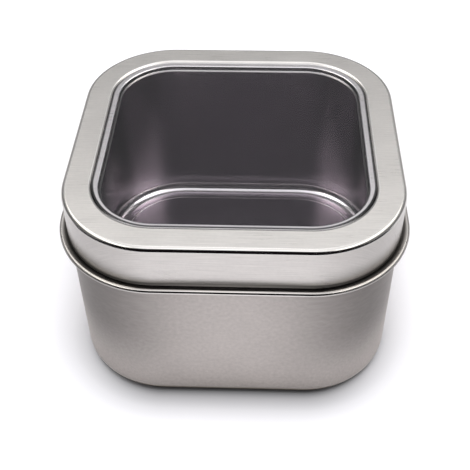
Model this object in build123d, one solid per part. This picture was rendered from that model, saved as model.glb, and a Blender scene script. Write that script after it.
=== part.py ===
from build123d import *
import math
import os

# A square tin with wide round corners and a slip-over lid. A clear pane lies in the lid's window.
# Millimetres, +Z up. The origin is the middle of the tin's foot, on the surface that it stands on.
# Every outline is a square with round corners, and all of them share the same four corner centres.

# The closed tin
tin_height = 50.5            # foot to the lid's top
lid_width = 78.0             # over the lid's skirt
lid_corner_radius = 22.0     # seen from above, at the skirt
sheet = 0.3                  # tinplate of the body and the lid

# The lid's frame
skirt_height = 11.1          # top panel to the skirt's lower edge
lid_edge_radius = 1.1        # bend from the panel into the skirt
panel_width = 6.4            # skirt to the crest of the window's step
step_drop = 0.4              # how far the window's ledge lies below the panel
step_run = 0.4               # how far the step slopes inwards
step_crest_radius = 0.6
step_root_radius = 0.35
ledge_width = 1.7            # foot of the step to the lip
lip_radius = 0.45
lip_drop = 1.0               # ledge to the bend where the lip's edge flares inwards
lip_flare_run = 0.4
lip_flare_drop = 0.3
lip_flare_radius = 0.2

# The clear pane
pane_thickness = 0.35
pane_gap = 0.2               # between the pane's edge and the foot of the step
pane_edge_radius = 0.1

# The body
slip_gap = 0.2               # between the neck and the inside of the skirt
neck_headroom = 1.7          # between the neck's top and the underside of the panel
curl_width = 1.0             # the neck's top edge, turned inwards
curl_drop = 0.9
curl_radius = 0.48
wall_setback = 0.3           # how far the wall lies inside the skirt's outer face
bead_reach = 2.22            # how far the bead stands out from the wall
bead_thickness = 1.65
bead_rise = 0.6              # the bead's upper side climbs outwards by this
bead_nose_radius = 0.65
bead_slit = 0.05             # the fold is pressed until its two sides nearly touch at the wall
bead_slit_radius = 0.05      # the sheet's inner face is squeezed nearly sharp on both sides of the slit
seat_radius = 0.3            # bend between the neck and the bead
seat_rise = 0.2              # the skirt's edge lands this far above the sharp corner of that bend
bead_root_radius = 0.4       # bend between the bead and the wall
foot_radius = 3.0
foot_ring_width = 1.7        # flat ring that the tin stands on
floor_step_run = 0.4
floor_rise = 0.5             # how far the middle of the floor is pushed up
floor_step_radius = 0.5
floor_plate_corner = 8.0     # corner radius of the floor's flat middle, where the ring joins it

lid_half = lid_width / 2
corner_centre = lid_half - lid_corner_radius
skirt_end_z = tin_height - skirt_height
window_foot_half = lid_half - panel_width - step_run
ledge_z = tin_height - step_drop
neck_half = lid_half - sheet - slip_gap
neck_top_z = tin_height - sheet - neck_headroom
wall_half = lid_half - wall_setback
bead_half = wall_half + bead_reach
seat_z = skirt_end_z - seat_rise
floor_plate_half = corner_centre + floor_plate_corner


def shifted(path, distance):
    """The same run of straight lines, moved to its right by a distance."""
    lines = []
    for (x0, z0), (x1, z1) in zip(path, path[1:]):
        length = math.hypot(x1 - x0, z1 - z0)
        along = ((x1 - x0) / length, (z1 - z0) / length)
        lines.append((x0 + along[1] * distance, z0 - along[0] * distance, along))
    last = lines[-1]
    moved = [lines[0][:2]]
    for (ax, az, a), (bx, bz, b) in zip(lines, lines[1:]):
        turn = a[0] * b[1] - a[1] * b[0]
        reach = ((bx - ax) * b[1] - (bz - az) * b[0]) / turn
        moved.append((ax + a[0] * reach, az + a[1] * reach))
    end_x, end_z = path[-1]
    moved.append((end_x + last[2][1] * distance, end_z - last[2][0] * distance))
    return moved


def sheet_section(path, radii, squeezed=()):
    """A bent strip of tinplate seen end on. The path is its show face, with the metal to its right.
    At the squeezed corners of the path, the other face has the slit's small radius."""
    back_radii = []
    for before, corner, after, radius in zip(path, path[1:], path[2:], radii):
        ax, az = corner[0] - before[0], corner[1] - before[1]
        bx, bz = after[0] - corner[0], after[1] - corner[1]
        turns_right = ax * bz - az * bx < 0
        if corner in squeezed:
            back_radii.append(bead_slit_radius)
        else:
            back_radii.append(radius - sheet if turns_right else radius + sheet)
    back_path = shifted(path, sheet)
    outline = [
        FilletPolyline(*path, radius=radii),
        Line(path[-1], back_path[-1]),
        FilletPolyline(*back_path, radius=back_radii),
        Line(back_path[0], path[0]),
    ]
    return make_face(Curve() + outline)


def carried_round(section):
    """Carry a section, whose x is the distance from the middle, round all four sides and corners."""
    upright = Plane.XZ * section
    side = extrude(upright, amount=corner_centre, both=True)
    corner_axis = Axis((corner_centre, corner_centre, 0), (0, 0, 1))
    corner = revolve(Pos(0, corner_centre, 0) * upright, axis=corner_axis, revolution_arc=90)
    pieces = []
    for quarter in range(4):
        turn = Rot(0, 0, 90 * quarter)
        pieces += [turn * side, turn * corner]
    return Part() + pieces


def rounded_plate(half, thickness, z):
    """A flat plate with the tin's outline at a given distance from the middle."""
    outline = RectangleRounded(2 * half, 2 * half, half - corner_centre)
    return Pos(0, 0, z) * extrude(outline, amount=thickness)


def bead_root_height(top_z, under_z):
    """Where the bead's under side meets the wall, so that the fold's two sides leave only the slit."""
    inner_half = wall_half - sheet
    top_angle = math.atan2(top_z - seat_z, bead_half - neck_half)
    roof_z = seat_z + (inner_half - neck_half) * math.tan(top_angle) - sheet / math.cos(top_angle)
    across = bead_half - inner_half
    up = roof_z - bead_slit - under_z
    under_angle = math.atan2(up, across) - math.asin(sheet / math.hypot(across, up))
    return under_z + (bead_half - wall_half) * math.tan(under_angle)


def tin_body():
    """Drawn from one blank: curled neck, folded bead for the lid to stop on, wall, foot and floor."""
    curl_half = neck_half - curl_width
    seat = (neck_half, seat_z)
    bead_top_z = seat_z + bead_rise
    bead_under_z = bead_top_z - bead_thickness
    root = (wall_half, bead_root_height(bead_top_z, bead_under_z))
    ring_inner_half = wall_half - foot_radius - foot_ring_width
    path = [
        (curl_half, neck_top_z - curl_drop),
        (curl_half, neck_top_z),
        (neck_half, neck_top_z),
        seat,
        (bead_half, bead_top_z),
        (bead_half, bead_under_z),
        root,
        (wall_half, 0),
        (ring_inner_half, 0),
        (ring_inner_half - floor_step_run, floor_rise),
        (floor_plate_half, floor_rise),
    ]
    radii = [
        curl_radius, curl_radius, seat_radius, bead_nose_radius, bead_nose_radius,
        bead_root_radius, foot_radius, floor_step_radius, floor_step_radius,
    ]
    floor_plate = rounded_plate(floor_plate_half, sheet, floor_rise)
    return carried_round(sheet_section(path, radii, squeezed=(seat, root))) + floor_plate


def lid_shell():
    """Drawn from one blank: the window's flared lip and ledge, the step up to the panel, and the skirt."""
    lip_half = window_foot_half - ledge_width
    lip_end_z = ledge_z - lip_drop
    path = [
        (lip_half - lip_flare_run, lip_end_z - lip_flare_drop),
        (lip_half, lip_end_z),
        (lip_half, ledge_z),
        (window_foot_half, ledge_z),
        (window_foot_half + step_run, tin_height),
        (lid_half, tin_height),
        (lid_half, skirt_end_z),
    ]
    radii = [lip_flare_radius, lip_radius, step_root_radius, step_crest_radius, lid_edge_radius]
    return carried_round(sheet_section(path, radii))


def window_pane():
    """Clear plastic sheet, bonded onto the ledge just below the panel."""
    pane = rounded_plate(window_foot_half - pane_gap, pane_thickness, ledge_z)
    upper_edges = pane.faces().sort_by(Axis.Z)[-1].edges()
    return fillet(upper_edges, pane_edge_radius)


nodes = {
    "tin_body": tin_body,
    "lid_shell": lid_shell,
    "window_pane": window_pane,
}

os.makedirs("parts", exist_ok=True)
for name, build_node in nodes.items():
    solid = build_node()
    export_step(solid, f"parts/{name}.step")
    size = solid.bounding_box().size
    print(f"{name}: {size.X:.2f} x {size.Y:.2f} x {size.Z:.2f} mm, volume {solid.volume:.0f} mm3")
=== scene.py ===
# %% [markdown]
# # A square window tin
#
# A small tin with wide round corners, pressed from bare brushed tinplate. Its lid slips over the neck
# of the body and frames a clear window. Only three pieces exist: the body, the lid's frame and the
# pane. The packed model holds them at their real size, so this file never decides where anything
# goes. It makes finer copies of the three, gives them their finish, and lights them for a portrait.

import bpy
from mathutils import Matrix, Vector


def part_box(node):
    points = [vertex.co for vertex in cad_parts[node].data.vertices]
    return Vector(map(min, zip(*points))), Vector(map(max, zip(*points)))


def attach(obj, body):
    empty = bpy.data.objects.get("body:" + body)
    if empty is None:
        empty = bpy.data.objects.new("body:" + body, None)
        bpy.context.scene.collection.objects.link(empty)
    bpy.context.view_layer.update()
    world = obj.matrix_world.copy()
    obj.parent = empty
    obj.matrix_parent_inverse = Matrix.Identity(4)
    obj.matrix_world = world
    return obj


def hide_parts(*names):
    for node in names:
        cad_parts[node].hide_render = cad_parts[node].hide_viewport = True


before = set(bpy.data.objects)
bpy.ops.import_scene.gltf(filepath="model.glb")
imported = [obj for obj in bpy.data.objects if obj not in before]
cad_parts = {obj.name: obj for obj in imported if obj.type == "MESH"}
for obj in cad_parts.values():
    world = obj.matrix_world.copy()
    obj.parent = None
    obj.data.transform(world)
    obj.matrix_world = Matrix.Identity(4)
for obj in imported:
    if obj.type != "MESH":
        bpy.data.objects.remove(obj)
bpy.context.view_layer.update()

# %% [markdown]
# ## Sizes
#
# Blender works in metres, but a tin is drawn in millimetres, so every small size is written as a
# number times `mm`. The large sizes are read from the boxes of the packed nodes, so the copies fit
# the model exactly. What a box can't tell, such as the radius of a bend, is a named value, given
# where a piece first needs it.

# %% Large sizes, read from the model
import math
from collections import namedtuple

import bpy
from mathutils import Matrix, Vector, noise

mm = 0.001
body_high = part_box("tin_body")[1]
lid_low, lid_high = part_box("lid_shell")
pane_low, pane_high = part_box("window_pane")

tin_height = lid_high.z
lid_half = lid_high.x
skirt_end = lid_low.z
bead_half = body_high.x
neck_top = body_high.z
pane_half = pane_high.x
ledge_height = pane_low.z
print(f"lid {2 * lid_half / mm:.1f} mm wide, tin {tin_height / mm:.1f} mm high")

# %% Sizes that the body and the lid share
sheet = 0.3 * mm
corner_radius = 22 * mm
corner_centre = lid_half - corner_radius
slip_gap = 0.2 * mm
neck_half = lid_half - sheet - slip_gap
wall_half = lid_half - 0.3 * mm
print(f"neck {2 * neck_half / mm:.1f} mm wide, wall {2 * wall_half / mm:.1f} mm wide")

# %% [markdown]
# ## A pressing is one section, carried round
#
# A press turns a flat sheet into a shell whose section is the same all the way round. So one drawing
# of the section makes the whole piece: straight runs joined by arcs, like a bent strip of sheet seen
# end on. A bevelled box could look alike from afar, but drawing the strip keeps every bend exact.
# Bends are what make metal look like metal, because each one squeezes the whole room into a thin
# bright line. Each spot of the section knows the way that its face looks, whether it lies on a bend,
# and how far along the sheet it is.

# %% Straight runs
Spot = namedtuple("Spot", "place normal bend run")
longest_step = 2 * mm
support_step = 0.12 * mm


def left_of(direction):
    """The direction, turned a quarter to the left."""
    return Vector((-direction.y, direction.x))


def straight_places(start, end):
    """Points along a run, with one close to each end so that the bend beside it stays crisp."""
    length = (end - start).length
    support = min(support_step, length / 3)
    count = max(1, math.ceil((length - 2 * support) / longest_step))
    inner = [support + (length - 2 * support) * n / count for n in range(count + 1)]
    way = (end - start).normalized()
    return [start + way * reach for reach in [0, *inner, length]]


print("points on a run of 10 mm:", len(straight_places(Vector((0, 0)), Vector((10 * mm, 0)))))

# %% The arc of a bend
steps_per_bend = 10


def arc_spots(corner, way_in, way_out, radius):
    """The arc that rounds a corner, without its two ends."""
    turn = way_in.x * way_out.y - way_in.y * way_out.x
    side = 1 if turn > 0 else -1
    angle = way_in.angle(way_out)
    start = corner - way_in * radius * math.tan(angle / 2)
    centre = start + left_of(way_in) * side * radius
    spots = []
    for step in range(1, steps_per_bend):
        spin = Matrix.Rotation(side * angle * step / steps_per_bend, 2)
        spots.append(Spot(centre + spin @ (start - centre), spin @ left_of(way_in), 1.0, 0.0))
    return spots


print("spots inside a bend:", len(arc_spots(Vector((0, 0)), Vector((1, 0)), Vector((0, -1)), mm)))

# %% A whole strip
def measured(spots):
    """The same spots, each with its distance along the sheet."""
    run = 0.0
    result = []
    for before, spot in zip([spots[0], *spots], spots):
        run += (spot.place - before.place).length
        result.append(spot._replace(run=run))
    return result


def bent_strip(path, radii):
    """The show face of a strip of sheet. The sheet itself lies to the path's right."""
    corners = [Vector(point) for point in path]
    ways = [(b - a).normalized() for a, b in zip(corners, corners[1:])]
    cuts = [r * math.tan(a.angle(b) / 2) for r, a, b in zip(radii, ways, ways[1:])]
    cuts = [0, *cuts, 0]
    spots = []
    for n, way in enumerate(ways):
        start = corners[n] + way * cuts[n]
        end = corners[n + 1] - way * cuts[n + 1]
        spots += [Spot(place, left_of(way), 0.0, 0.0) for place in straight_places(start, end)]
        if n + 1 < len(ways):
            spots += arc_spots(corners[n + 1], way, ways[n + 1], radii[n])
    return measured(spots)


trial = bent_strip([(0, 0), (10 * mm, 0), (10 * mm, -10 * mm)], [2 * mm])
print(f"a strip bent once: {len(trial)} spots, {trial[-1].run / mm:.2f} mm along the sheet")

# %% The other face of the sheet
def back_of(spots):
    """The other face of the same sheet, from its far end to its start."""
    moved = [s._replace(place=s.place - s.normal * sheet, normal=-s.normal) for s in spots]
    return moved[::-1]


apart = (back_of(trial)[-1].place - trial[0].place).length
print(f"the two faces lie {apart / mm:.1f} mm apart")

# %% [markdown]
# ## Round the corners
#
# Seen from above, every outline of the tin is a square with round corners, and all of them share
# the same four corner centres. Blender's Screw modifier carries a section round a circle only, so
# the way round is worked out here. Each station on the way round needs only a point on the small
# square that joins those centres, and the way outwards. A point of the section that is `reach` away
# from the middle then lies `reach - corner_centre` outside the small square.

# %% Stations on the way round
Station = namedtuple("Station", "base outwards")
steps_per_side = 18
steps_per_corner = 28


def stations_round():
    """One quarter of the way round, turned into place four times."""
    back = Vector((0, 1))
    quarter = []
    for n in range(steps_per_side):
        along = corner_centre * (1 - 2 * n / steps_per_side)
        quarter.append(Station(Vector((along, corner_centre)), back))
    for n in range(steps_per_corner):
        spin = Matrix.Rotation(math.pi / 2 * n / steps_per_corner, 2)
        quarter.append(Station(Vector((-corner_centre, corner_centre)), spin @ back))
    turns = [Matrix.Rotation(math.pi / 2 * n, 2) for n in range(4)]
    return [Station(turn @ s.base, turn @ s.outwards) for turn in turns for s in quarter]


stations = stations_round()
print("stations round the tin:", len(stations))

# %% [markdown]
# ## From section to mesh
#
# The mesh is the section at every station, joined by quads. Two things go with each vertex, for the
# finish to use. `blank` is where the point lay on the flat sheet before it was pressed, so that brush
# lines drawn there follow the metal round its bends, as the real ones do. `trace` is where the point
# lies on the section: its distance from the middle, its height, and 1 on a bend or 0 on a run.
#
# Thin sheet is never quite flat, so a slow, shallow noise moves each point by a few hundredths of a
# millimetre. It only ever moves them into the metal, so the piece never outgrows the model.

# %% How uneven thin sheet is
wave_depth = 0.04 * mm
wave_length = 16 * mm


def unevenness(point):
    """How far a point lies behind the true surface, from 0 to 1."""
    return 0.5 - 0.5 * noise.noise(point / wave_length)


print(f"the sheet waves by up to {wave_depth / mm:.2f} mm every {wave_length / mm:.0f} mm or so")

# %% Collect the points and faces of a pressing
show, inside = 0, 1


class Pressing:
    """Collects the vertices and faces of one piece that is carried round the tin."""

    def __init__(self, name, depth=wave_depth):
        self.name = name
        self.depth = depth
        self.points = []
        self.blanks = []
        self.traces = []
        self.faces = []
        self.sides = []

    def add(self, point, normal, blank, trace):
        """Adds one point and returns its number."""
        self.points.append(point - normal * self.depth * unevenness(point))
        self.blanks.append((*blank, 0.0))
        self.traces.append(trace)
        return len(self.points) - 1

    def ring(self, spot, blank_start):
        """Adds one spot of the section at every station and returns the row of their numbers."""
        row = []
        for station in stations:
            flat = station.base + station.outwards * (spot.place.x - corner_centre)
            blank = station.base + station.outwards * (blank_start + spot.run - corner_centre)
            point = Vector((*flat, spot.place.y))
            normal = Vector((*(station.outwards * spot.normal.x), spot.normal.y))
            row.append(self.add(point, normal, blank, (spot.place.x, spot.place.y, spot.bend)))
        return row

    def join(self, row, next_row, side):
        """Quads between two rows."""
        for n in range(len(row)):
            after = (n + 1) % len(row)
            self.faces.append((row[n], row[after], next_row[after], next_row[n]))
            self.sides.append(side)

    def rings(self, spots, side, blank_start=0.0):
        """Adds a whole face of the section and returns its rows."""
        rows = [self.ring(spot, blank_start) for spot in spots]
        for row, next_row in zip(rows, rows[1:]):
            self.join(row, next_row, side)
        return rows


print("a pressing knows its:", *vars(Pressing("trial")))

# %% Close the middle of a floor or a pane
cap_shares = (0.8, 0.55, 0.3)


def close_over(pressing, row, spot, side):
    """Fills the space inside a row with smaller and smaller rows, and the last one to its middle."""
    normal = Vector((0, 0, spot.normal.y))
    trace = (corner_centre, spot.place.y, 0.0)
    edge = row
    for share in cap_shares:
        smaller = []
        for station in stations:
            flat = (station.base + station.outwards * (spot.place.x - corner_centre)) * share
            smaller.append(pressing.add(Vector((*flat, spot.place.y)), normal, flat, trace))
        pressing.join(edge, smaller, side)
        edge = smaller
    middle = pressing.add(Vector((0, 0, spot.place.y)), normal, Vector((0, 0)), trace)
    for n, number in enumerate(edge):
        pressing.faces.append((number, edge[(n + 1) % len(edge)], middle))
        pressing.sides.append(side)


print("rows inside the edge of a flat middle:", len(cap_shares))

# %% Make the object, which stands for a packed node
sharp_angle = math.radians(40)


def press(pressing, finishes, body, node):
    """Turns what was collected into a smooth Blender object."""
    mesh = bpy.data.meshes.new(pressing.name)
    mesh.from_pydata(pressing.points, [], pressing.faces)
    for finish in finishes:
        mesh.materials.append(finish.material)
    mesh.polygons.foreach_set("material_index", pressing.sides)
    for name, values in (("blank", pressing.blanks), ("trace", pressing.traces)):
        attribute = mesh.attributes.new(name, "FLOAT_VECTOR", "POINT")
        attribute.data.foreach_set("vector", [v for value in values for v in value])
    mesh.shade_smooth()
    mesh.set_sharp_from_angle(angle=sharp_angle)
    mesh.validate()
    piece = bpy.data.objects.new(pressing.name, mesh)
    bpy.context.scene.collection.objects.link(piece)
    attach(piece, body)
    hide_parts(node)
    spans = [max(values) - min(values) for values in zip(*pressing.points)]
    print(piece.name, "faces:", len(mesh.polygons), "size in mm:", *(f"{s / mm:.2f}" for s in spans))


print(f"edges sharper than {math.degrees(sharp_angle):.0f} degrees stay sharp")

# %% [markdown]
# ## Shaders as sums
#
# A Blender material is a graph of nodes, and a long graph written node by node is hard to follow. So
# a node's output is wrapped in a small class whose operators add Math nodes: `1 - mask` reads as
# what it does. Every other node comes from one method, which takes its type, its settings and what
# goes into its sockets.

# %% A wire
class Wire:
    """The output of a node. Arithmetic on it adds Math nodes."""

    def __init__(self, graph, socket):
        self.graph = graph
        self.socket = socket

    def math(self, operation, *values):
        """A Math node on numbers and wires."""
        return self.graph.node("Math", {"operation": operation}, dict(enumerate(values)))

    def __add__(self, other):
        return self.math("ADD", self, other)

    __radd__ = __add__

    def __sub__(self, other):
        return self.math("SUBTRACT", self, other)

    def __rsub__(self, other):
        return self.math("SUBTRACT", other, self)

    def __mul__(self, other):
        return self.math("MULTIPLY", self, other)

    __rmul__ = __mul__

    def __truediv__(self, other):
        return self.math("DIVIDE", self, other)

    def __pow__(self, other):
        return self.math("POWER", self, other)

    def __abs__(self):
        return self.math("ABSOLUTE", self)

    def at_least(self, least):
        return self.math("MAXIMUM", self, least)

    def clamped(self):
        """The wire, kept between 0 and 1."""
        return self.graph.node("Clamp", None, {"Value": self})

    def ramp(self, low, high):
        """0 where the wire is at most low, 1 where it is at least high, and smooth between."""
        settings = {"interpolation_type": "SMOOTHSTEP"}
        return self.graph.node("MapRange", settings, {"Value": self, "From Min": low, "From Max": high})


print("a wire also has:", *(name for name in vars(Wire) if not name.startswith("_")))

# %% A graph, whose one method makes every node
def set_stops(ramp, stops):
    """Sets a colour ramp from pairs of a place from 0 to 1 and a grey."""
    while len(ramp.elements) < len(stops):
        ramp.elements.new(0.5)
    for element, (place, grey) in zip(ramp.elements, stops):
        element.position = place
        element.color = (grey, grey, grey, 1.0)


class Graph:
    """The nodes of one material, or of the world."""

    def __init__(self, owner, output):
        owner.use_nodes = True
        self.tree = owner.node_tree
        self.tree.nodes.clear()
        self.output = self.tree.nodes.new(output)

    def node(self, kind, settings=None, inputs=None, output=0):
        """Makes any node. Its settings come first, because they decide which sockets it has."""
        made = self.tree.nodes.new("ShaderNode" + kind)
        for name, value in (settings or {}).items():
            if name == "stops":
                set_stops(made.color_ramp, value)
            else:
                setattr(made, name, value)
        for name, value in (inputs or {}).items():
            if isinstance(value, Wire):
                self.tree.links.new(value.socket, made.inputs[name])
            else:
                made.inputs[name].default_value = value
        return Wire(self, made.outputs[output])

    def part(self, vector, axis):
        """The X, Y or Z of a vector."""
        return self.node("SeparateXYZ", None, {0: vector}, output=axis)

    def ray(self, kind):
        """1 for light that the renderer follows in this way, such as by a glossy mirror."""
        return self.node("LightPath", output=f"Is {kind} Ray")

    def between(self, factor, first, second):
        """One shader blended into another."""
        return self.node("MixShader", None, {0: factor, 1: first, 2: second})

    def end_with(self, shader):
        """Joins the last shader to the output."""
        self.tree.links.new(shader.socket, self.output.inputs["Surface"])


print("a graph also has:", *(name for name in vars(Graph) if not name.startswith("_")))

# %% A finish, which is the graph of a material
class Finish(Graph):
    """A material, with the words that the finishes of this tin have in common."""

    def __init__(self, name):
        self.material = bpy.data.materials.new(name)
        super().__init__(self.material, "ShaderNodeOutputMaterial")

    def attribute(self, name):
        """What goes with each vertex under this name."""
        return self.node("Attribute", {"attribute_name": name}, output="Vector")

    def position(self):
        """Where the point lies in the room."""
        return self.node("NewGeometry", output="Position")

    def normal(self):
        """Which way the surface faces."""
        return self.node("NewGeometry", output="Normal")

    def glow(self, colour, strength=1.0):
        """A surface that gives off its own light."""
        return self.node("Emission", None, {"Color": colour, "Strength": strength})

    def mix(self, factor, first, second):
        """A colour between two others. They are the sockets 6 and 7 of the node."""
        colours = {0: factor, 6: first, 7: second}
        return self.node("Mix", {"data_type": "RGBA"}, colours, output=2)

    def scaled(self, colour, factor):
        """A colour, made darker or lighter."""
        return self.node("VectorMath", {"operation": "SCALE"}, {"Vector": colour, "Scale": factor})

    def stretched(self, vector, length, width, angle=0.0, detail=3.0):
        """Noise in streaks of this length and width, turned by an angle."""
        turn = {"Vector": vector, "Angle": angle}
        turned = self.node("VectorRotate", {"rotation_type": "Z_AXIS"}, turn)
        scale = (1 / length, 1 / width, 1 / width)
        scaled = self.node("VectorMath", {"operation": "MULTIPLY"}, {0: turned, 1: scale})
        return self.node("TexNoise", None, {"Vector": scaled, "Scale": 1.0, "Detail": detail})


print("a finish also has:", *(name for name in vars(Finish) if not name.startswith("_")))

# %% [markdown]
# ## Brushed tinplate
#
# Tinplate is steel with a thin coat of tin, and this one was brushed along the sheet before it was
# pressed. The brush left fine parallel lines, which blur what the metal mirrors. Where the tool
# bent the sheet it polished them away, so bends are nearly a mirror. Handling added faint hairlines
# in other directions and a cloudy unevenness. A picture of brushed metal could show all this, but
# noise has no seams. It is drawn on the flat blank, as on the real sheet, and changes only the
# colour, the roughness and a shallow bump.

# %% The marks on the flat sheet
grain_length, grain_width = 9 * mm, 0.16 * mm
cloud_size = 11 * mm
mottle_size = 0.9 * mm
hairline_length, hairline_width = 2.6 * mm, 0.14 * mm
hairline_angles = (math.radians(52), math.radians(-38))
hairline_peaks = (0.60, 0.80)


def brush_marks(finish, blank):
    """The brush lines and the clouds."""
    grain = finish.stretched(blank, grain_length, grain_width)
    return grain, finish.stretched(blank, cloud_size, cloud_size, detail=1.0)


def handling_marks(finish, blank, hairlines):
    """A fine mottle, and hairlines in two directions. Only the peaks of their noise count."""
    mottle = finish.stretched(blank, mottle_size, mottle_size, detail=2.0)
    streaks = [finish.stretched(blank, hairline_length, hairline_width, a) for a in hairline_angles]
    first, second = (streak.ramp(*hairline_peaks) for streak in streaks)
    return mottle, (first + second) * hairlines


print(f"brush lines {grain_length / mm:.0f} mm long and {grain_width / mm:.2f} mm wide")

# %% Corners, as the finish finds them
upright_share = 0.02


def diagonal(finish, vector, softness=0.0):
    """1 where a vector points halfway between two sides of the tin, 0 where it points at a side."""
    x, y = finish.part(vector, "X"), finish.part(vector, "Y")
    return abs(x * y) * 2 / (x * x + y * y + softness)


def corner_of(finish):
    """1 where the metal faces a corner of the tin, 0 where it faces a side or straight up."""
    return diagonal(finish, finish.normal(), upright_share)


half_slope = math.degrees(math.asin(upright_share ** 0.5))
print(f"metal tilted by {half_slope:.0f} degrees towards a corner counts half")

# %% How much the metal blurs what it mirrors
grain_blur, cloud_blur = 0.12, 0.06
corner_dullness = 0.75


def blur_of(finish, brush, clouds, bend, roughness, bend_roughness):
    """The roughness: that of the brushed sheet, polished on the bends, least of all at corners."""
    polish = bend * (roughness - bend_roughness) * (1 - corner_of(finish) * corner_dullness)
    return roughness + brush * grain_blur + (clouds - 0.5) * cloud_blur - polish


print(f"a bend at a corner keeps {1 - corner_dullness:.2f} of its polish")

# %% The whole finish
grain_tone, cloud_tone, scratch_tone, mottle_tone = 0.45, 0.14, 0.16, 0.30
groove_strength, groove_depth, scratch_height = 0.5, 0.004 * mm, 0.6


def tinplate(name, colour, bend_colour, roughness, bend_roughness, brushed, hairlines, dim):
    """Brushed tinplate. `dim` works out how much light the dark places of this piece still get, as painted
    light and shade in its colour.
    """
    finish = Finish(name)
    blank, trace = finish.attribute("blank"), finish.attribute("trace")
    bend = finish.part(trace, "Z")
    flat = 1 - bend
    grain, clouds = brush_marks(finish, blank)
    brush = flat * (grain - 0.5) * brushed
    tone = 1 + brush * grain_tone + (clouds - 0.5) * cloud_tone
    metal = {"Metallic": 1.0}
    if hairlines:
        mottle, scratches = handling_marks(finish, blank, hairlines)
        tone = tone + scratches * scratch_tone + flat * (mottle - 0.5) * mottle_tone * hairlines
        height = flat * (grain * brushed + mottle * hairlines + scratches * scratch_height)
        bump = {"Strength": groove_strength, "Distance": groove_depth, "Height": height}
        metal["Normal"] = finish.node("Bump", None, bump)
    plain = finish.mix(bend, (*colour, 1.0), (*bend_colour, 1.0))
    # dim paints light and shade into the colour
    metal["Base Color"] = finish.scaled(plain, tone * dim(finish, trace))
    metal["Roughness"] = blur_of(finish, brush, clouds, bend, roughness, bend_roughness)
    finish.end_with(finish.node("BsdfPrincipled", None, metal))
    print(name, "nodes:", len(finish.tree.nodes))
    return finish


# %% [markdown]
# ## The body
#
# One deep pressing: a curled neck that the lid slips over, a folded bead that the lid stops on, a
# plain wall, a rounded foot and a floor whose middle is pushed up, so that the tin stands on a ring.
# The section runs from the curl down to the floor. A wall, a rim and a floor could be made one by
# one, but one strip has no seam that the real piece doesn't have.
#
# The bead is a fold of the same sheet, pressed until its two sides nearly touch. So the angle of its
# under side follows from the thickness of the sheet, and is worked out here as in the model.

# %% Sizes of the body's bends
curl_width, curl_drop, curl_radius = 1.0 * mm, 0.9 * mm, 0.48 * mm
seat_height, seat_radius = skirt_end - 0.2 * mm, 0.3 * mm
bead_rise, bead_thickness, bead_slit = 0.6 * mm, 1.65 * mm, 0.05 * mm
bead_nose_radius, bead_root_radius = 0.65 * mm, 0.4 * mm
foot_radius, foot_ring = 3.0 * mm, 1.7 * mm
floor_step_run, floor_rise, floor_step_radius = 0.4 * mm, 0.5 * mm, 0.5 * mm
floor_plate_half = corner_centre + 8 * mm

bead_top = seat_height + bead_rise
bead_under = bead_top - bead_thickness
print(f"bead from {bead_under / mm:.2f} to {bead_top / mm:.2f} mm above the foot")

# %% Where the fold of the bead closes
inner_half = wall_half - sheet
top_angle = math.atan2(bead_rise, bead_half - neck_half)
slit_height = seat_height + (inner_half - neck_half) * math.tan(top_angle) - sheet / math.cos(top_angle)
fold_width = bead_half - inner_half
fold_height = slit_height - bead_slit - bead_under
sheet_angle = math.asin(sheet / math.hypot(fold_width, fold_height))
under_angle = math.atan2(fold_height, fold_width) - sheet_angle
bead_root = bead_under + (bead_half - wall_half) * math.tan(under_angle)
print(f"the bead's under side climbs by {math.degrees(under_angle):.1f} degrees to the wall")

# %% Draw the body's section
foot_inner = wall_half - foot_radius - foot_ring
foot_path = [
    (wall_half, 0),
    (foot_inner, 0),
    (foot_inner - floor_step_run, floor_rise),
    (floor_plate_half, floor_rise),
]
foot_radii = [foot_radius, floor_step_radius, floor_step_radius]
neck_path = [
    (neck_half - curl_width, neck_top - curl_drop),
    (neck_half - curl_width, neck_top),
    (neck_half, neck_top),
]
bead_path = [
    (neck_half, seat_height),
    (bead_half, bead_top),
    (bead_half, bead_under),
    (wall_half, bead_root),
]
bead_radii = [seat_radius, bead_nose_radius, bead_nose_radius, bead_root_radius]
curl_radii = [curl_radius, curl_radius]
body_face = bent_strip(neck_path + bead_path + foot_path, curl_radii + bead_radii + foot_radii)
body_face = [spot._replace(bend=1.0) if spot.place.x > wall_half else spot for spot in body_face]
print(f"the body's section has {len(body_face)} spots")

# %% [markdown]
# ## Dark places of the body
#
# The upright corners are painted darker from a little above the foot up to the bead, as painted shade.
# Little of the room reaches the folds above and below the bead, and the tent and the card can't darken such
# thin gaps enough by themselves, so shade is painted into the metal's colour there too. Each function gives
# the share of light that is left, and the finish multiplies its colour by it. Two numbers in brackets are
# the ends of a ramp.

# %% The body's stretched corners
corner_shade_height, corner_shade_dark, corner_shade_narrowing = (0.0, 25 * mm), 0.64, 3
bead_fade, bead_share = (0.0, 0.2 * mm), 0.2


def painted_corner_shade(reach, height, corner):
    """Painted shade on the upright corners, from a little above the foot up to the bead."""
    below_bead = 1 - (reach - wall_half).ramp(*bead_fade) * bead_share
    narrow = corner ** corner_shade_narrowing
    return 1 - narrow * height.ramp(*corner_shade_height) * below_bead * corner_shade_dark


# The corners' painted shade is darkest from this height upwards.
print(f"the corners are dullest from {corner_shade_height[1] / mm:.0f} mm upwards")

# %% The folds below and above the bead
crease_reach, crease_height, crease_painted_shade = (0.05 * mm, 0.3 * mm), (0.35 * mm, 0.6 * mm), 0.93
crevice_reach, crevice_height = (-0.1 * mm, 0.1 * mm), (0.5 * mm, 0.7 * mm)
crevice_painted_shade, crevice_painted_shade_at_corner = 0.75, 0.15
lit_start, lit_end = 1.12 * mm, 1.42 * mm
lit_start_turned, lit_end_turned = 0.9 * mm, 0.3 * mm


def painted_shade_under_bead(reach, height):
    """Painted shade on the line where the bead's under side meets the wall."""
    crease = (reach - wall_half).ramp(*crease_reach)
    crease = crease * (1 - (height - bead_under).ramp(*crease_height))
    return 1 - crease * crease_painted_shade


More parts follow.
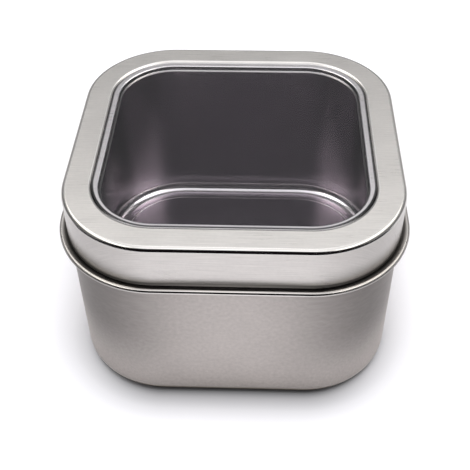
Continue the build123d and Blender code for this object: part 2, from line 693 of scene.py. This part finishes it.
def painted_shade_above_bead(reach, height, corner):
    """Painted shade in the gap between the skirt and the bead, from the neck out to where the bead's top is
    lit.
    """
    turned = corner ** 2
    lit_ramp = (lit_start - turned * lit_start_turned, lit_end - turned * lit_end_turned)
    crevice = (reach - neck_half).ramp(*crevice_reach) * (1 - (reach - lid_half).ramp(*lit_ramp))
    crevice = crevice * (height - bead_under).ramp(*crevice_height)
    return 1 - crevice * (crevice_painted_shade + turned * crevice_painted_shade_at_corner)


print(f"the bead's top is lit from {lit_end / mm:.2f} mm outside the skirt")

# %% The body's finish
# Painted shade of the body: its upright corners and the folds at the bead.
def body_painted_shade(finish, trace):
    reach, height = finish.part(trace, "X"), finish.part(trace, "Y")
    corner = diagonal(finish, finish.position())
    folds = painted_shade_under_bead(reach, height) * painted_shade_above_bead(reach, height, corner)
    return painted_corner_shade(reach, height, corner) * folds


body_finish = tinplate(
    "body_tinplate", colour=(0.575, 0.538, 0.52), bend_colour=(0.76, 0.73, 0.71),
    roughness=0.46, bend_roughness=0.12, brushed=0.3, hairlines=1.0, dim=body_painted_shade,
)

# %% [markdown]
# ## The inside
#
# The brush and the hand don't reach the inside, so it has no hairlines and no grooves. It mirrors mostly
# itself, again and again, which a short render can't follow to the end. So shade is painted into its metal:
# it is darker and a touch more violet from the start, and darker still in the upright corners. A highlight
# is painted where the floor turns up at a corner and catches the light.

# %% The finish of the inside
# Painted shade on the inside's upright corners, and a painted highlight where the floor turns up at a
# corner.
shade_height, wall_painted_shade = (2 * mm, 12 * mm), 0.5
glint_height, painted_glint_gain, glint_narrowing = (1.5 * mm, 4 * mm), 0.65, 6
glint_squares = (0.0012, 0.0018)  # squares of the distance from the middle, 35 and 42 mm
almost_nothing = 1e-6


def inner_painted_light(finish, trace):
    height = finish.part(trace, "Y")
    wall = 1 - corner_of(finish) * height.ramp(*shade_height) * wall_painted_shade
    place = finish.position()
    corner = diagonal(finish, place, almost_nothing) ** glint_narrowing
    x, y = finish.part(place, "X"), finish.part(place, "Y")
    near = (x * x + y * y).ramp(*glint_squares) * (1 - height.ramp(*glint_height))
    return wall * (1 + corner * near * painted_glint_gain)


# The inside's colour is darker and more violet than the body's, as painted shade.
inner_finish = tinplate(
    "inner_tinplate", colour=(0.35, 0.316, 0.344), bend_colour=(0.70, 0.67, 0.67),
    roughness=0.24, bend_roughness=0.16, brushed=0.3, hairlines=0.0, dim=inner_painted_light,
)

# %% Press the outside of the body
body = Pressing("body_pressing")
outer_rows = body.rings(body_face, show)
print("points on the outside:", len(body.points))

# %% Line it with the inside, which runs straight past the closed fold
neck_inside = back_of(bent_strip([*neck_path, (neck_half, slit_height)], curl_radii))
wall_inside = back_of(bent_strip([(wall_half, slit_height), *foot_path], foot_radii))
inner_face = wall_inside + neck_inside
inner_rows = body.rings(inner_face, inside)
body.join(inner_rows[-1], outer_rows[0], show)
close_over(body, outer_rows[-1], body_face[-1], show)
close_over(body, inner_rows[0], inner_face[0], inside)
press(body, [body_finish, inner_finish], "tin", "tin_body")

# %% [markdown]
# ## The lid's frame
#
# The second pressing: from the window outwards it has a lip that is turned down, a ledge for the
# pane, a small step up to the panel, the panel, a bend and the skirt. It is made as the body is,
# but both ends of its strip are cut edges, so the section closes on itself.

# %% Draw the lid's section
lip_half, lip_drop, lip_radius = 30.5 * mm, 1.0 * mm, 0.45 * mm
flare_run, flare_drop, flare_radius = 0.4 * mm, 0.3 * mm, 0.2 * mm
window_half, step_run = 32.2 * mm, 0.4 * mm
step_root_radius, step_crest_radius = 0.35 * mm, 0.6 * mm
lid_edge_radius = 1.1 * mm

lid_path = [
    (lip_half - flare_run, ledge_height - lip_drop - flare_drop),
    (lip_half, ledge_height - lip_drop),
    (lip_half, ledge_height),
    (window_half, ledge_height),
    (window_half + step_run, tin_height),
    (lid_half, tin_height),
    (lid_half, skirt_end),
]
window_radii = [flare_radius, lip_radius, step_root_radius, step_crest_radius]
lid_face = bent_strip(lid_path, [*window_radii, lid_edge_radius])
print(f"the lid's section is {lid_face[-1].run / mm:.1f} mm along the sheet")

# %% [markdown]
# ## Dark places of the lid
#
# A painted dark line runs round the pane, as painted shade where the gap between it and the step swallows
# the light. It is widest near the front corners and faint at the back. Painted shade also makes a dark
# hairline above the skirt's cut edge, a soft shade above that edge at the corners, and darker upright
# corners on the skirt and on the panel's outer bend.

# %% The gap round the pane
gap_middle = window_half - 0.13 * mm
gap_line = (0.14 * mm, 0.38 * mm)
gap_shift_front, gap_shift_corner, gap_wider = 0.45 * mm, 0.3 * mm, 0.7 * mm
gap_painted_shade, gap_painted_shade_corner, gap_light_back = 0.88, 0.4, 0.75
lip_fade, lip_painted_shade, lip_light_back = (0.0, 0.2 * mm), 0.75, 0.5


def painted_shade_round_pane(finish, trace):
    """Painted shade: the dark line on the step's foot and the dark inner edge of the lip."""
    depth = finish.part(finish.attribute("blank"), "Y") * (1 / (gap_middle - corner_centre))
    start = corner_centre / (gap_middle - corner_centre)
    back, front = (depth - start).clamped(), (0 - depth - start).clamped()
    bow = front * (1 - front)
    reach = finish.part(trace, "X")
    place = reach + front * front * gap_shift_front + bow * gap_shift_corner
    line = 1 - (abs(place - gap_middle) - bow * gap_wider).ramp(*gap_line)
    lip = 1 - (reach - lip_half).ramp(*lip_fade)
    line_dark = gap_painted_shade - back * back * gap_light_back + bow * gap_painted_shade_corner
    return (1 - line * line_dark) * (1 - lip * (lip_painted_shade - back * back * lip_light_back))


print(f"the gap's dark line is {2 * gap_line[0] / mm:.2f} mm wide at the sides")

# %% The skirt's lower edge
edge_line_height, edge_line_fade, edge_line_painted_shade = 0.7 * mm, (0.0, 0.3 * mm), 0.3
edge_shade_height, edge_painted_shade = (0.0, 6 * mm), 0.6


def painted_shade_at_cut_edge(finish, trace):
    """Painted shade: a dark hairline just above the skirt's cut edge, and a soft shade there at the corners.
    """
    above = finish.part(trace, "Y") - skirt_end
    line = 1 - abs(above - edge_line_height).ramp(*edge_line_fade)
    shade = (1 - above.ramp(*edge_shade_height)) * corner_of(finish)
    return (1 - line * edge_line_painted_shade) * (1 - shade * edge_painted_shade)


print(f"hairline {edge_line_height / mm:.1f} mm above the cut edge")

# %% The outer bend and the corners
outer_bend_reach, outer_bend_height, outer_bend_shade = (-0.1 * mm, 0.2 * mm), (-0.6 * mm, -0.3 * mm), 0.6
skirt_corner_shade = 0.30


def painted_shade_on_outer_bend(finish, trace):
    """Painted shade on the panel's outer bend at the corners."""
    reach, height = finish.part(trace, "X"), finish.part(trace, "Y")
    edge = (reach - lid_half + lid_edge_radius).ramp(*outer_bend_reach)
    edge = edge * (height - tin_height).ramp(*outer_bend_height)
    return 1 - edge * corner_of(finish) * outer_bend_shade


def painted_skirt_corner_shade(finish):
    """Painted shade on the skirt's upright corners."""
    normal = finish.normal()
    return 1 - abs(finish.part(normal, "X") * finish.part(normal, "Y")) * 2 * skirt_corner_shade


print(f"an upright corner keeps {1 - skirt_corner_shade:.2f} of its light")

# %% The lid's finish
# Painted shade of the lid: its corners, the outer bend, the gap round the pane and the cut edge.
def lid_painted_shade(finish, trace):
    corners = painted_skirt_corner_shade(finish) * painted_shade_on_outer_bend(finish, trace)
    return corners * painted_shade_round_pane(finish, trace) * painted_shade_at_cut_edge(finish, trace)


lid_finish = tinplate(
    "lid_tinplate", colour=(0.715, 0.69, 0.67), bend_colour=(0.88, 0.86, 0.84),
    roughness=0.30, bend_roughness=0.10, brushed=1.0, hairlines=0.3, dim=lid_painted_shade,
)

# %% Press the lid
lid = Pressing("lid_pressing")
outer_rows = lid.rings(lid_face, show, blank_start=lip_half)
inner_rows = lid.rings(back_of(lid_face), inside, blank_start=lip_half)
lid.join(outer_rows[-1], inner_rows[0], show)
lid.join(inner_rows[-1], outer_rows[0], show)
press(lid, [lid_finish, lid_finish], "lid", "lid_shell")

# %% [markdown]
# ## The window
#
# A sheet of clear plastic lies on the ledge, with a hair's breadth of gap round it. A glass shader
# would do, but such a thin sheet doesn't bend what is seen through it. It only adds a faint mirror
# image, stronger at a shallow angle. So the finish mixes plain transparency with a smooth mirror, by
# the old rule of thumb that clear plastic mirrors a few hundredths of the light head on and nearly
# all of it edge on. This pane mirrors a little less head on, so that the dim inside shows.

# %% The clear plastic
mirror_head_on = 0.012
mirror_growth = 5
clear_finish = Finish("clear_plastic")
facing = clear_finish.node("LayerWeight", None, {"Blend": 0.5}, output="Facing")
mirror_share = mirror_head_on + facing ** mirror_growth * (1 - mirror_head_on)
see_through = clear_finish.node("BsdfTransparent", None, {"Color": (0.97, 0.97, 0.985, 1.0)})
mirror = clear_finish.node("BsdfPrincipled", None, {
    "Base Color": (0.95, 0.95, 0.97, 1.0), "Metallic": 1.0, "Roughness": 0.04,
})
clear_finish.end_with(clear_finish.between(mirror_share, see_through, mirror))
print("head on, the pane mirrors", mirror_head_on, "of the light")

# %% Lay the pane on its ledge
pane_edge_radius = 0.1 * mm
pane_cut = corner_centre + 6 * mm
pane_path = [
    (pane_cut, pane_high.z),
    (pane_half, pane_high.z),
    (pane_half, ledge_height),
    (pane_cut, ledge_height),
]
pane_face = bent_strip(pane_path, [pane_edge_radius, pane_edge_radius / 4])
pane = Pressing("window_clear", depth=0.0)
pane_rows = pane.rings(pane_face, show, blank_start=pane_cut)
close_over(pane, pane_rows[0], pane_face[0], show)
close_over(pane, pane_rows[-1], pane_face[-1], show)
press(pane, [clear_finish], "lid", "window_pane")

# %% [markdown]
# ## The set
#
# Metal shows the room more than itself, so the room is half of the picture. The tin stands on a white sheet.
# Round it are a tent and a low black card that only its mirror images see, so neither of them lights the
# sheet. That light comes from a plain pale world and one large soft lamp. Only the sheet is seen by the
# camera.

# %% A piece of the set
def set_piece(name, points, faces, finish, cameras=True):
    """A mesh that belongs to the set. One that no camera sees is there for mirror images alone."""
    mesh = bpy.data.meshes.new(name)
    mesh.from_pydata(points, [], faces)
    mesh.materials.append(finish.material)
    piece = bpy.data.objects.new(name, mesh)
    bpy.context.scene.collection.objects.link(piece)
    if not cameras:
        piece.visible_camera = False
        piece.visible_diffuse = False
        piece.visible_shadow = False
        finish.material.cycles.emission_sampling = "NONE"
    print(name, "faces:", len(mesh.polygons))


# %% [markdown]
# ## The white sheet
#
# Plain paper is matt and has no marks of its own at this size. What shows on it is the tin's soft
# shadow, which is darkest right at the foot. The pale world reaches under the foot from every side
# and leaves that shadow too weak, so part of it is in the paper's colour: a table of greys by the
# distance from the tin's outline, stronger in front than at the sides. Mirror images show the paper
# a little darker and warmer than the camera does, which is how the lower body has it in the photo.
# Far away the sheet turns plain white for the camera, so that a low view shows no edge.

# %% How far a point of the sheet lies from the tin
paper = Finish("white_sheet")
paper_place = paper.position()
paper_x, paper_y = paper.part(paper_place, "X"), paper.part(paper_place, "Y")
paper_across = (abs(paper_x) - corner_centre).at_least(0.0)
paper_along = (abs(paper_y) - corner_centre).at_least(0.0)
from_corner = (paper_across ** 2 + paper_along ** 2) ** 0.5
from_wall = from_corner - (wall_half - corner_centre)
in_front = ((0 - paper_y - corner_centre) / from_corner).clamped()
print(f"distances start at the wall, {wall_half / mm:.1f} mm from the middle")

# %% The shade at the foot
shade_start, shade_end = -2 * mm, 14 * mm
shade_round, shade_in_front, front_narrowing = 0.4, 0.5, 3
share_of_shade = (from_wall - shade_start) * (1 / (shade_end - shade_start))
contact = paper.node("ValToRGB", {"stops": [
    (0.0, 0.01), (0.04, 0.05), (0.084, 0.145), (0.125, 0.22), (0.15, 0.31), (0.197, 0.43),
    (0.244, 0.51), (0.34, 0.64), (0.43, 0.76), (0.57, 0.85), (0.70, 0.92), (1.0, 1.0),
]}, {0: share_of_shade})
white = (1.0, 1.0, 1.0, 1.0)
shade = in_front ** front_narrowing * shade_in_front + shade_round
shaded = paper.mix(shade, white, contact)
print(f"the shade ends {shade_end / mm:.0f} mm from the wall")

# %% The sheet's finish
paper_white = (0.92, 0.915, 0.95)
warm_share = 0.23
fade_to_white = (100 * mm, 400 * mm)
paper_colour = paper.node("VectorMath", {"operation": "MULTIPLY"}, {0: shaded, 1: paper_white})
matt = paper.node("BsdfPrincipled", None, {
    "Base Color": paper_colour, "Roughness": 0.9, "Specular IOR Level": 0.0,
})
warm = paper.glow((0.12, 0.07, 0.0, 1.0))
near_sheet = paper.between(paper.ray("Glossy") * warm_share, matt, warm)
far_away = from_wall.ramp(*fade_to_white) * paper.ray("Camera")
paper.end_with(paper.between(far_away, near_sheet, paper.glow(white)))
print("the sheet's finish has", len(paper.tree.nodes), "nodes")

# %% Lay the sheet
floor_half = 2.0
floor_corners = [(-1, -1), (1, -1), (1, 1), (-1, 1)]
floor_points = [(floor_half * x, floor_half * y, 0) for x, y in floor_corners]
set_piece("floor", floor_points, [(0, 1, 2, 3)], paper)

# %% [markdown]
# ## The tent
#
# A photograph of a studio, wrapped round the scene, could light the metal. A dome with a few named
# numbers can be fitted better to what each bend of the tin shows. Its light changes with height:
# bright overhead, a little less straight above, and dim towards the horizon. Two softboxes hang high
# at the sides and brighten the bends at the left and right. In front, where a photographer stands,
# the dome is dark. That part makes the black lines along the bends and keeps the inside of the tin
# dim. The numbers that place them are parts of the way from the middle of the floor to the dome: how
# far up, back or aside a point of it lies. The way aside is squared, so that left and right count
# alike.

# %% The dome of the tent
tent_radius = 1.2
tent_rows, tent_columns = 24, 48
tent_points = [(0, 0, tent_radius)]
for row in range(1, tent_rows + 1):
    down = math.pi / 2 * row / tent_rows
    for column in range(tent_columns):
        about = 2 * math.pi * column / tent_columns
        flat = tent_radius * math.sin(down)
        tent_points.append((flat * math.cos(about), flat * math.sin(about), tent_radius * math.cos(down)))
tent_faces = [(0, 1 + n, 1 + (n + 1) % tent_columns) for n in range(tent_columns)]
for row in range(tent_rows - 1):
    first = 1 + row * tent_columns
    for n in range(tent_columns):
        after = (n + 1) % tent_columns
        tent_faces.append((first + n, first + after, first + tent_columns + after, first + tent_columns + n))
print("points on the dome:", len(tent_points))

# %% Its light by height
overhead = 1.4
cloth = Finish("tent_cloth")
cloth_way = cloth.node("VectorMath", {"operation": "NORMALIZE"}, {0: cloth.position()})
cloth_side, cloth_back, cloth_up = (cloth.part(cloth_way, axis) for axis in "XYZ")
by_height = cloth.node("ValToRGB", {"stops": [
    (0.0, 0.34 / overhead), (0.30, 0.36 / overhead), (0.53, 0.46 / overhead), (0.70, 0.98 / overhead),
    (0.87, 1.0), (0.94, 1.0), (1.0, 0.78),
]}, {0: cloth_up})
print("the brightest cloth glows at", overhead)

# %% Dark in front, softboxes aside
nearly_black = (0.004, 0.003, 0.004, 1.0)
front_edge, front_lean, horizon_edge = (0.28, 0.42), 0.35, (0.03, 0.07)
softbox_light = (3.4, 3.3, 3.1, 1.0)
softbox_side, softbox_low, softbox_high = (0.10, 0.22), (0.64, 0.71), (0.80, 0.92)
side_tilt, side_level = 0.12, 0.88

front = (0 - cloth_back - cloth_up * front_lean).ramp(*front_edge) * cloth_up.ramp(*horizon_edge)
tent_colour = cloth.mix(front, by_height, nearly_black)
softbox = (cloth_side * cloth_side).ramp(*softbox_side) * cloth_up.ramp(*softbox_low)
softbox = softbox * (1 - cloth_up.ramp(*softbox_high))
tent_colour = cloth.mix(softbox, tent_colour, softbox_light)
tent_light = cloth.scaled(tent_colour, cloth_side * side_tilt + side_level)
cloth.end_with(cloth.glow(tent_light, overhead))
set_piece("tent", tent_points, tent_faces, cloth, cameras=False)

# %% [markdown]
# ## The black card
#
# Product photographers stand a black card before shiny things, because a bend needs something dark
# to mirror, or it melts into the panel beside it. This one is a low curved wall round the front. It
# makes the dark line below the lid's outer bend and the dark under side of the bead.

# %% Stand the card
card_distance, card_height = 140 * mm, 60 * mm
card_steps = 24
card_sweep = math.radians(80)
card_points = []
for n in range(card_steps + 1):
    about = card_sweep * (2 * n / card_steps - 1)
    foot = (card_distance * math.sin(about), -card_distance * math.cos(about))
    card_points += [(*foot, 0), (*foot, card_height)]
card_faces = [(2 * n, 2 * n + 2, 2 * n + 3, 2 * n + 1) for n in range(card_steps)]
black = Finish("black_card")
black.end_with(black.glow((0.005, 0.004, 0.005, 1.0)))
set_piece("card", card_points, card_faces, black, cameras=False)

# %% [markdown]
# ## The world and the lamp
#
# The world lights matt things softly from above. What shows behind the tin, straight, in a mirror or
# through the pane, is a plain white one instead. The lamp adds a little direction to the shadow and
# is kept out of the mirror images, where the tent already is.

# %% The world
world = bpy.data.worlds.new("studio")
bpy.context.scene.world = world
sky_ramp = (0.1, 0.9)
sky = Graph(world, "ShaderNodeOutputWorld")
sky_height = sky.part(sky.node("TexCoord", output="Generated"), "Z")
seen = (sky.ray("Camera") + sky.ray("Glossy") + sky.ray("Transmission")).ramp(0.0, 1.0)
pale = sky.node("Background", None, {"Color": sky_height.ramp(*sky_ramp), "Strength": 1.0})
backdrop = sky.node("Background", None, {"Color": white, "Strength": 1.0})
sky.end_with(sky.between(seen, pale, backdrop))
print("the world has", len(sky.tree.nodes), "nodes")

# %% The lamp
lamp_data = bpy.data.lights.new("soft_lamp", "AREA")
lamp_data.shape = "RECTANGLE"
lamp_data.size, lamp_data.size_y = 0.5, 0.4
lamp_data.energy = 4.4
lamp = bpy.data.objects.new("soft_lamp", lamp_data)
lamp.location = (0.02, -0.10, 0.75)
lamp.rotation_euler = lamp.location.to_track_quat("Z", "Y").to_euler()
lamp.visible_glossy = False
bpy.context.scene.collection.objects.link(lamp)
print(f"a lamp of {lamp_data.energy:.1f} W, {lamp.location.z:.2f} m above the sheet")

# %% [markdown]
# ## The camera
#
# The photograph was matched by fitting a camera to the outlines of the lid, the bead and the foot.
# It stands close to the tin, a little right of its middle, and looks down at 44 degrees. An angle
# and a distance say that more plainly than a matrix, so the matrix is worked out from them.

# %% Place the camera
azimuth = math.radians(2.684)
elevation = math.radians(44.046)
roll = math.radians(-0.835)
distance = 223.085 * mm
aim = Vector((-0.62 * mm, 0, 17.291 * mm))

backwards = Vector((
    math.sin(azimuth) * math.cos(elevation), -math.cos(azimuth) * math.cos(elevation), math.sin(elevation),
))
level = Vector((math.cos(azimuth), math.sin(azimuth), 0))
upright = backwards.cross(level)
right = math.cos(roll) * level + math.sin(roll) * upright
up = math.cos(roll) * upright - math.sin(roll) * level

camera_data = bpy.data.cameras.new("camera")
camera_data.angle = math.radians(31.488)
camera_data.clip_start = 0.01
camera = bpy.data.objects.new("camera", camera_data)
bpy.context.scene.collection.objects.link(camera)
place = aim + backwards * distance
camera.matrix_world = Matrix.Translation(place) @ Matrix((right, up, backwards)).transposed().to_4x4()
bpy.context.scene.camera = camera
bpy.context.scene.view_settings.view_transform = "Standard"
print("camera at", *(f"{v / mm:.1f}" for v in place), "mm")
